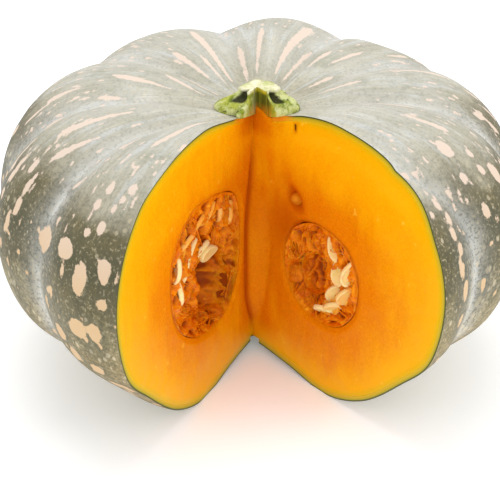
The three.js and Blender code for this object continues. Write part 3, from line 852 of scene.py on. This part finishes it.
def make_face(side, edge_points, apex):
    """A cut face and its pocket: rings from the face's boundary to the mouth, then down the pocket."""
    along, into = facing(side)
    loop = np.vstack([edge_points, apex])
    x, z = (loop - CUT_EDGE) @ along, loop[:, 2]
    middle = pocket_middle(side)
    theta = np.arctan2(z - middle[1], x - middle[0])
    ragged = 1.003 + 0.003 * np.sin(9 * theta)
    reach = mouth_radius(side, theta) * ragged
    mx, mz = middle[0] + reach * np.cos(theta), middle[1] + reach * np.sin(theta)
    rings, walls = ((56, 28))
    share = np.linspace(0, 1, rings)[:, None]
    fx, fz = x + (mx - x) * share, z + (mz - z) * share
    from_edge = share * np.hypot(mx - x, mz - z)
    to_mouth = (1 - share) * np.hypot(mx - x, mz - z)
    off_plane = -((loop - CUT_EDGE) @ into)
    off_rim = smooth(from_edge, 0, RIM_FLAT)
    relief = face_relief(side, fx, fz) * off_rim
    by_rind = smooth(from_edge, 0, STRAY_MARGINS[0])
    relief = relief - strayed(side, fx, fz) * by_rind * smooth(to_mouth, 0, STRAY_MARGINS[1])
    relief = relief - LIP_DEPTH * (1 - smooth(to_mouth, 0, LIP_WIDTH)) * off_rim
    relief = relief + off_plane * (1 - by_rind)
    face = on_cut(side, fx, fz, -relief)
    face[0] = loop
    depth = POCKETS[side]["depth"]
    around = np.linspace(0, np.pi / 2, walls + 1)[1:-1, None]
    wx = middle[0] + (mx - middle[0]) * np.cos(around)
    wz = middle[1] + (mz - middle[1]) * np.cos(around)
    behind = LIP_DEPTH + (depth - LIP_DEPTH) * np.sin(around)
    wall = on_cut(side, wx, wz, behind)
    end = on_cut(side, middle[0], middle[1], np.array(float(depth)))
    points = np.vstack([face.reshape(-1, 3), wall.reshape(-1, 3), end[None]])
    n = len(loop)
    total = rings + walls - 1
    faces = [ring_faces(total, n), fan(total * n, (total - 1) * n, n, flip=True)]
    fx = np.concatenate([fx.ravel(), wx.ravel(), [middle[0]]])
    fz = np.concatenate([fz.ravel(), wz.ravel(), [middle[1]]])
    facts = face_colours(side, fx, fz, (edge_points - CUT_EDGE) @ along, edge_points[:, 2])
    on_wall = np.arange(len(fx)) >= face.size // 3
    # The pockets' walls are darkened as painted shade.
    facts["red_and_shade"] = np.maximum(facts["red_and_shade"], WALL_SHADE * on_wall)
    return points, faces, facts


def face_colours(side, x, z, rind_x, rind_z):
    """How deep orange a cut face is, how far under the rind, and how reddened it is, with painted shade in
    the crease and the nick, at x along and z up.
    """
    under = np.full(len(x), 1e9)
    for a, b in zip(rind_x, rind_z):
        under = np.minimum(under, np.hypot(x - a, z - b))
    # The core round the pocket is deep orange, and so are the strip along the wedge's edge and the
    # flesh under the stem. The upper shoulder is yellower.
    middle = pocket_middle(side)
    deep = smooth(np.hypot((x - middle[0]) / 1.15, (z - middle[1] - 4) / 1.2), 66, 22)
    deep = deep * (1 - 0.55 * smooth(z, 98, 124) * smooth(np.abs(x), 12, 28))
    deep = np.maximum(deep, 0.85 * smooth(x, 34, 6) * smooth(z, 140, 100))
    deep = np.maximum(deep, 0.9 * np.exp(-((x / 20) ** 2)) * smooth(z, 118, 134))
    # Painted shade: the crease between the faces is darker, most of all halfway down.
    squeezed = 1 if side == "left" else math.cos(rad(CUTS["right"] - CUTS["left"]))
    line = crease_at(z) * squeezed
    red_and_shade = 0.95 * np.exp(-(((x - line) / 2.2) ** 2)) * smooth(z, 136, 96)
    if side == "right":
        gone = np.hypot(x - LONE_SEED[0], z - LONE_SEED[1])
        # Painted shade for the nick.
        nick_shade = np.minimum(spot(x, z, NICK_SHADE), 2)
        for more in (spot(x, z, RED_PATCH), 0.6 * smooth(gone, 11, 5), nick_shade):
            red_and_shade = np.maximum(red_and_shade, more)
        # Painted highlight: the flap beside the crease is lightened.
        deep = deep - spot(x - line, z, FLAP_HIGHLIGHT)
    stemward = np.exp(-((x / 19) ** 2)) * smooth(z, 118, 134)
    red_and_shade = np.maximum(red_and_shade, 0.35 * stemward)
    return {"deep": deep, "under": under + UNDER_STEM * stemward, "red_and_shade": red_and_shade}


def make_flesh(material):
    inset = RIND + 0.02
    columns, rows = ((160, 200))
    grid, psi, t = sector(inset, columns, rows, AXIS_RADIUS)
    radius = np.hypot(grid[..., 0], grid[..., 1])
    filled = np.maximum(dome(radius), skin_height(radius) * FIT[2])
    on_top = (t < 0.5) & (radius < RIND_FROM)
    grid[..., 2] = np.where(on_top, np.maximum(grid[..., 2], filled), grid[..., 2])
    bottom_z = float(grid[-1, :, 2].mean())
    apex_z = np.linspace(bottom_z, dome(EDGE_REACH), 110)
    apex = on_cut("left", crease_at(apex_z), apex_z, np.zeros(110))
    outer = grid.reshape(-1, 3)
    n = len(outer)
    points = [outer, [[0, 0, DOME_TOP], [0, 0, bottom_z], apex[-1], apex[0]]]
    rim_top = [*range(columns), n + 2]
    rim_bottom = [(rows - 1) * columns + k for k in range(columns)] + [n + 3]
    caps = []
    for ring, centre in ((rim_top, n), (rim_bottom, n + 1)):
        for a, b in zip(ring, ring[1:] + ring[:1]):
            caps.append((centre, a, b))
    faces = [grid_faces(rows, columns), caps]
    crown = np.append(on_top.ravel(), [True, False, True, False])
    facts = {"deep": 0.9 * crown, "under": UNDER_STEM * crown, "red_and_shade": 0.4 * crown}
    start = n + 4
    for side, column in (("right", 0), ("left", columns - 1)):
        more, polygons, extra = make_face(side, grid[:, column], apex)
        points.append(more)
        faces += [[tuple(int(v) + start for v in f) for f in group] for group in polygons]
        facts = {k: np.concatenate([facts[k], extra[k]]) for k in facts}
        start += len(more)
    obj = make("flesh_body", np.vstack(points), faces, material, facts, weld=True)
    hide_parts("flesh")
    return obj


def pocket_depth(side, x, z):
    """Depth of a pocket's wall behind the cut face at a point of that face."""
    middle = pocket_middle(side)
    theta = np.arctan2(z - middle[1], x - middle[0])
    share = np.hypot(x - middle[0], z - middle[1]) / np.maximum(mouth_radius(side, theta), 1)
    return POCKETS[side]["depth"] * np.sqrt(np.clip(1 - share**2, 0, 1))


def folded(p, scale, seed):
    """Noise with sharp crests, as of membranes, from 0 to 1."""
    return 1 - np.abs(noise(p, scale, seed)) * 1.6


def pulp_rings(side, columns, detail):
    """Rings of the pulp's open face and hollow, from the mouth to the hollow's end."""
    theta = np.linspace(-np.pi, np.pi, columns, endpoint=False)
    middle = pocket_middle(side)
    size = np.maximum(mouth_radius(side, theta) - GAP, 1)
    mouth = np.stack([middle[0] + size * np.cos(theta), middle[1] + size * np.sin(theta)], axis=-1)
    (hx, hz), (rx, rz), depth = POCKETS[side]["hollow"]
    edge = np.stack([hx + rx * np.cos(theta), hz + rz * np.sin(theta)], axis=-1)
    wide = np.linalg.norm(mouth - edge, axis=1)
    rings = []

    def add(p, behind):
        q = np.column_stack([p, np.full(columns, 3.0)])
        room = pocket_depth(side, p[:, 0], p[:, 1]) * 0.93 - 0.6 - 2.2 * folded(q, 7, 28) ** 2
        room = room - 0.7 * folded(q, 3, 29)
        rings.append((p, np.clip(behind, 0.2, np.maximum(room, PULP_LIP))))

    for share in np.linspace(0, 1, detail):
        p = mouth + (edge - mouth) * share
        lumps = PULP_LUMPS * np.minimum(wide / 12, 1) * np.sin(0.55 * p[:, 0] + 2) * np.sin(0.5 * p[:, 1])
        q = np.column_stack([p, np.full(columns, 7.0)])
        # Membranes run across the pocket, more or less upright.
        bent = q + 3.0 * np.stack([noise(q, 12, 71), noise(q, 12, 72), noise(q, 12, 73)], axis=-1)
        folds = 2.0 - 3.6 * folded(bent * [1, 0.55, 1], 5.5, 21) ** 3 - 1.1 * folded(bent, 2.6, 25) ** 2
        folds = (folds + layered(q, 2.2, 2, 27) * 0.5) * smooth(share, 0, 0.16)
        add(p, PULP_LIP + (PULP_FACE - PULP_LIP) * share**0.8 + lumps * smooth(share, 0, 0.25) + folds)
    for around in np.linspace(0, np.pi / 2, detail // 2 + 2)[1:-1]:
        p = np.array([hx, hz]) + (edge - np.array([hx, hz])) * math.cos(around)
        q = np.column_stack([p, np.full(columns, 30 * around)])
        base = PULP_FACE + (depth - PULP_FACE) * math.sin(around)
        add(p, base - 2.2 * folded(q, 6, 22) ** 3 + layered(q, 3, 2, 23) * 0.6)
    return rings, mouth


def strand(points, radius, sides=5):
    """A thin round thread along points: its vertices and faces."""
    path = through(points, np.linspace(0, 1, 15))
    along = np.gradient(path, axis=0)
    along /= np.linalg.norm(along, axis=1, keepdims=True)
    side = np.cross(along, [0.3, 0.5, 0.81])
    side /= np.linalg.norm(side, axis=1, keepdims=True)
    up = np.cross(along, side)
    a = np.linspace(0, 2 * np.pi, sides, endpoint=False)
    thick = radius * (0.6 + 0.8 * np.abs(np.linspace(-1, 1, len(path))))
    ring = side[:, None] * np.cos(a)[:, None] + up[:, None] * np.sin(a)[:, None]
    points = path[:, None] + ring * thick[:, None, None]
    faces = [tuple(f) for f in ring_faces(len(path), sides, flip=True)]
    faces.append(tuple(range(sides))[::-1])
    faces.append(tuple((len(path) - 1) * sides + j for j in range(sides)))
    return points.reshape(-1, 3), faces


def make_pulp(side, material):
    columns, detail = ((300, 44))
    rings, mouth = pulp_rings(side, columns, detail)
    middle = pocket_middle(side)
    depth = POCKETS[side]["depth"] - GAP
    loops, pulp_shade = [], []
    # The pulp's back against the pocket's wall is painted fully dark, as shade.
    for around in np.linspace(np.pi / 2, 0, 14)[1:-1]:
        p = middle + (mouth - middle) * math.cos(around)
        loops.append(on_cut(side, p[:, 0], p[:, 1], depth * math.sin(around)))
        pulp_shade.append(np.ones(columns))
    depths = [behind for _, behind in rings]
    for i, (p, behind) in enumerate(rings):
        loops.append(on_cut(side, p[:, 0], p[:, 1], behind))
        # Painted shade: the bottoms of the folds are darker than their crests, deeper pulp is darker, and
        # so is the upper part of the left pocket.
        nearby = np.mean(depths[max(i - 3, 0):i + 4], axis=0)
        nearby = (nearby + np.roll(nearby, 6) + np.roll(nearby, -6)) / 3
        sunk = np.clip((behind - nearby) / 1.6, -0.4, 1)
        shade = 0.3 * smooth(p[:, 1], 84, 100) if side == "left" else 0
        pulp_shade.append(np.clip(smooth(behind, 8, 22) * 0.8 + 0.95 * sunk + shade, 0, 1))
    n = len(loops)
    hx, hz = POCKETS[side]["hollow"][0]
    start = on_cut(side, middle[0], middle[1], np.array(float(depth)))
    end = on_cut(side, np.array(float(hx)), np.array(float(hz)), np.array(rings[-1][1].mean() + 0.3))
    points = [*loops, start[None], end[None]]
    fans = fan(n * columns, 0, columns)
    fans += fan(n * columns + 1, (n - 1) * columns, columns, flip=True)
    facts = [np.concatenate(pulp_shade), [1, 1]]
    # Threads from the pulp's face to the hollow's edge.
    rng = np.random.default_rng(5 if side == "left" else 6)
    total = n * columns + 2
    threads = []
    for _ in range(THREADS):
        j = rng.integers(columns)
        spread = rng.integers(-26, 27)
        rows_at = sorted(rng.choice(np.arange(3, detail), 3, replace=False))
        path = []
        for step, row in enumerate(rows_at):
            p, behind = rings[row]
            at = (j + step * spread // 2) % columns
            lift = (0.1, 0.9, 0.0)[step]
            path.append(on_cut(side, p[at, 0], p[at, 1], np.array(max(behind[at] - lift, 0.3))))
        more, polygons = strand(path, rng.uniform(0.18, 0.42))
        points.append(more)
        threads += [tuple(v + total for v in f) for f in polygons]
        facts.append(np.full(len(more), rng.uniform(-0.3, 0.2)))
        total += len(more)
    faces = [ring_faces(n, columns), fans, threads]
    facts = {"red_and_shade": np.concatenate(facts)}
    obj = make(f"pulp_{side}_lining", np.vstack(points), faces, material, facts, weld=True)
    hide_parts(f"pulp_{side}")
    return obj


def seed_mesh():
    """One flat seed with a raised rim, its tip at +X: points, faces and how much each is rim."""
    around, rings = 28, 7
    length, width, thick = SEED_SIZE
    a = np.linspace(0, 2 * np.pi, around, endpoint=False)
    x = np.cos(a)
    taper = 1 - 0.28 * x - 0.14 * x * x
    outline = np.stack([x * length / 2, np.sin(a) * taper * width / 2], axis=-1)
    shares = np.array([0.25, 0.5, 0.68, 0.8, 0.9, 0.97, 1.0])
    heights = np.array([0.74, 0.72, 0.68, 0.84, 0.95, 0.6, 0.0])
    points, rim = [], []
    for top in (1, -1):
        points.append(np.array([[0, 0, top * thick / 2 * 0.74]]))
        rim.append([0.0])
        for share, height in zip(shares, heights):
            if top < 0 and share == 1:
                continue
            level = np.full((around, 1), top * thick / 2 * height)
            points.append(np.concatenate([outline * share, level], axis=1))
            rim.append(np.full(around, 1.0 if share > 0.75 else 0.0))
    faces = []
    second = 1 + rings * around
    for base, flip in ((0, False), (second, True)):
        for j in range(around):
            k = (j + 1) % around
            tri = (base, base + 1 + j, base + 1 + k)
            faces.append(tri[::-1] if flip else tri)
            for i in range(rings - 1):
                p = base + 1 + i * around
                q = p + around
                if flip and i == rings - 2:
                    q = 1 + (rings - 1) * around
                quad = (p + j, q + j, q + k, p + k)
                faces.append(quad[::-1] if flip else quad)
    return np.vstack(points), faces, np.concatenate(rim)


def cut_frame(side, seed):
    """Matrix that stands a shape on a cut face, as the list of seeds says."""
    away, height, behind, turn, tip, roll = seed
    along, _ = facing(side)
    up = np.array([0, 0, 1.0])
    basis = np.stack([along, up, np.cross(along, up)], axis=1)
    turned = Matrix.Rotation(rad(turn), 3, "Z") @ Matrix.Rotation(rad(tip), 3, "Y")
    local = turned @ Matrix.Rotation(rad(roll), 3, "X")
    return basis @ np.array(local), on_cut(side, away, height, behind)


def all_seeds(side):
    """The listed seeds of a pocket, and a veiled one sunk between each two: place and film."""
    places = []
    listed = SEEDS[side]
    for i, seed in enumerate(listed):
        film = FILMS[i] if side == "left" else 0.15 + 0.5 * float(hashed(i, 3, 5, 2))
        places.append((seed, film))
        if i + 1 < len(listed):
            after = listed[i + 1]
            x, z, behind = [(seed[k] + after[k]) / 2 for k in range(3)]
            turn = math.degrees(math.atan2(after[1] - seed[1], after[0] - seed[0]))
            places.append(((x, z, behind + SUNK, turn, 0, 0), 1.0))
    return places


def make_seeds(side, material):
    shape, faces, rim = seed_mesh()
    points, polygons, rims, films = [], [], [], []
    for i, (seed, film) in enumerate(all_seeds(side)):
        turn, at = cut_frame(side, seed)
        bent = shape + noise(shape + 40 * i, 6, 31)[:, None] * np.array([0, 0, 0.25])
        size = SEED_GROWTH[0] + SEED_GROWTH[1] * float(hashed(i, 7, 2, 4))
        points.append((bent * size) @ turn.T + at)
        start = i * len(shape)
        polygons += [tuple(v + start for v in f) for f in faces]
        rims.append(rim)
        films.append(np.full(len(shape), film))
    facts = {"rim": np.concatenate(rims), "film": np.concatenate(films)}
    obj = make(f"seeds_{side}_heap", np.vstack(points), [polygons], material, facts)
    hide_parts(f"seeds_{side}")
    return obj


def make_lone_seed(material):
    shape, faces, _ = seed_mesh()
    turn, at = cut_frame("right", LONE_SEED)
    into = facing("right")[1]
    edge = np.hypot(shape[:, 0] / SEED_SIZE[0], shape[:, 1] / SEED_SIZE[1]) * 2
    shape[:, 2] = np.sign(shape[:, 2]) * SEED_SIZE[2] / 3 * np.sqrt(np.clip(1 - edge**2, 0, 1))
    facts = {"rim": np.zeros(len(shape)), "film": 1.3 + 0.5 * smooth(edge, 0.3, 0.9)}
    sunk = LONE_SUNK + float(strayed("right", LONE_SEED[0], LONE_SEED[1]))
    points = (shape * LONE_SIZE) @ turn.T + at + sunk * into
    obj = make("lone_seed", points, [faces], material, facts)
    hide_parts("seed_under_film")
    return obj


def cut_limit(azimuth):
    """How far a ray from the stem's axis runs before it enters the wedge."""
    direction = np.stack([np.sin(azimuth), -np.cos(azimuth), np.zeros_like(azimuth)], axis=-1)
    enter = np.zeros_like(azimuth)
    never = np.zeros(azimuth.shape, bool)
    for side in CUTS:
        into = facing(side)[1]
        depth = float(-CUT_EDGE @ into) - STRAY_AT_STEM * max(STRAY[side][0], 0)
        speed = direction @ into
        never |= speed >= -1e-9
        enter = np.maximum(enter, depth / np.maximum(-speed, 1e-9))
    return np.where(never, 1e3, enter)


def make_stem(material):
    columns, rows = ((420, 70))
    azimuth = np.linspace(-np.pi, np.pi, columns, endpoint=False)
    levels = through(STEM_LEVELS, np.linspace(0, 1, rows))
    middle, spread_of, foot, top_reach, fall_from, fall_to = np.array(STEM_RIDGES, float).T
    degrees = np.degrees(azimuth)
    off = (degrees[:, None] - middle + 540) % 360 - 180
    bells = np.exp(-((off / spread_of) ** 2))
    near = bells.max(axis=1)
    limit = cut_limit(azimuth)
    base = float(skin_height(0)) * FIT[2]
    groove = np.exp(-(((degrees[:, None] - GROOVES[:, 0]) / GROOVES[:, 1]) ** 2))
    groove = (GROOVES[:, 2] * groove).max(axis=1)
    # Painted shade: the valleys between the ridges and the grooves darken in the stem's upper half.
    dark = np.maximum(np.clip(0.7 - near * 1.6, 0, 0.6), np.clip(groove / 2.2, 0, 1))
    rings = []
    facts = {key: [] for key in ("flute_shade", "cut", "level", "end", "reach")}
    for up, core, shift in levels:
        share = up / STEM_LEVELS[-1][0]
        p = np.stack([np.cos(azimuth) * 9, np.sin(azimuth) * 9, np.full(columns, up * 0.5)], axis=-1)
        reach = top_reach + (foot - top_reach) * (1 - smooth(up, fall_from, fall_to))
        r = core + (reach * bells).max(axis=1)
        r = r - groove * smooth(share, 0.5, 0.68)
        r = r + layered(p, 3.5, 3, 51) * 0.35 + noise(p * [1, 1, 0.12], 1.3, 52) * 0.22
        r = r + shift * np.sin(azimuth)
        kept = np.minimum(r, limit)
        slope = max(1 - up / STEM_LEVELLING, 0)
        z = base + up + (skin_height(kept) * FIT[2] - base) * slope
        rings.append(np.stack([kept * np.sin(azimuth), -kept * np.cos(azimuth), z], axis=-1))
        is_cut = smooth(r - limit, -1.6, 0.2)
        facts["cut"].append(is_cut)
        facts["flute_shade"].append(dark * smooth(share, 0.48, 0.64) * smooth(share, 1.0, 0.95))
        facts["reach"].append(kept)
        facts["level"].append(np.full(columns, share))
        facts["end"].append(np.full(columns, smooth(share, 0.9, 0.99)) * (1 - 0.55 * is_cut))
    top = rings[-1]
    top[:, 2] += layered(top, 5.5, 2, 61) * 0.8
    closing = []
    for share in (0.8, 0.55, 0.3):
        ring = top * [share, share, 1]
        ring[:, 2] += -0.8 * (1 - share) + layered(ring * [1, 1, 0.3], 4.5, 2, 62) * 0.2
        closing.append(ring)
    under = []
    for share in (0.85, 0.62, 0.4, 0.2):
        ring = rings[0] * [share, share, 1]
        r = np.hypot(ring[:, 0], ring[:, 1])
        ring[:, 2] = np.maximum(skin_height(r) + GAP, dome(r, GAP))
        under.append(ring)
    loops = under[::-1] + rings + closing
    first = [0, 0, DOME_TOP + GAP]
    last = [0, 0, float(top[:, 2].mean()) - 1.2]
    points = np.vstack([np.vstack(loops), [first], [last]])
    n = len(loops)
    fans = fan(n * columns, 0, columns, flip=True)
    fans += fan(n * columns + 1, (n - 1) * columns, columns)
    for key, values in facts.items():
        # The underside counts as 0, and the top's middle as 1 where that is a height.
        above = 1.0 if key in ("level", "end") else 0.0
        below = np.zeros(columns * len(under))
        middle = np.full(columns * len(closing), above)
        facts[key] = np.concatenate([below, *values, middle, [0.0, above]])
    faces = [ring_faces(n, columns, flip=True), fans]
    obj = make("stem_wood", points, faces, material, facts, weld=True)
    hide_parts("stem")
    return obj


def stage_and_light():
    floor = bpy.data.meshes.new("floor")
    corners = [(FLOOR_SIZE * x, FLOOR_SIZE * y, 0) for x, y in ((-1, -1), (1, -1), (1, 1), (-1, 1))]
    floor.from_pydata(corners, [], [(0, 1, 2, 3)])
    glow = {"Emission_Color": (0.8, 0.92, 1.0, 1), "Emission_Strength": 0.17}
    floor.materials.append(Nodes("paper").finish((0.95, 0.95, 0.95, 1), 0.6, **glow))
    show("floor", floor)
    for name, at, power, size in LAMPS:
        data = bpy.data.lights.new(name, "AREA")
        data.energy, data.size = power, size
        show(name, data, at, LAMPS_AIM)
    world = bpy.data.worlds.new("studio")
    world.use_nodes = True
    background = world.node_tree.nodes["Background"].inputs
    background["Color"].default_value = (1, 1, 1, 1)
    background["Strength"].default_value = 1.0
    bpy.context.scene.world = world
    bpy.context.scene.view_settings.view_transform = "Standard"


def camera():
    data = bpy.data.cameras.new("camera")
    data.lens, data.sensor_width = LENS, SENSOR
    data.clip_start, data.clip_end = 0.05, 50
    bpy.context.scene.camera = show("camera", data, place(CAMERA_AT), place(CAMERA_TO))


camera()
stage_and_light()
seed_look, pulp_look = seed_material(), pulp_material()
made = [
    make_rind(rind_material()),
    make_flesh(flesh_material()),
    make_stem(stem_material()),
    make_lone_seed(seed_look),
]
for side in POCKETS:
    made.append(make_pulp(side, pulp_look))
    made.append(make_seeds(side, seed_look))
for piece in made:
    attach(piece, "root")
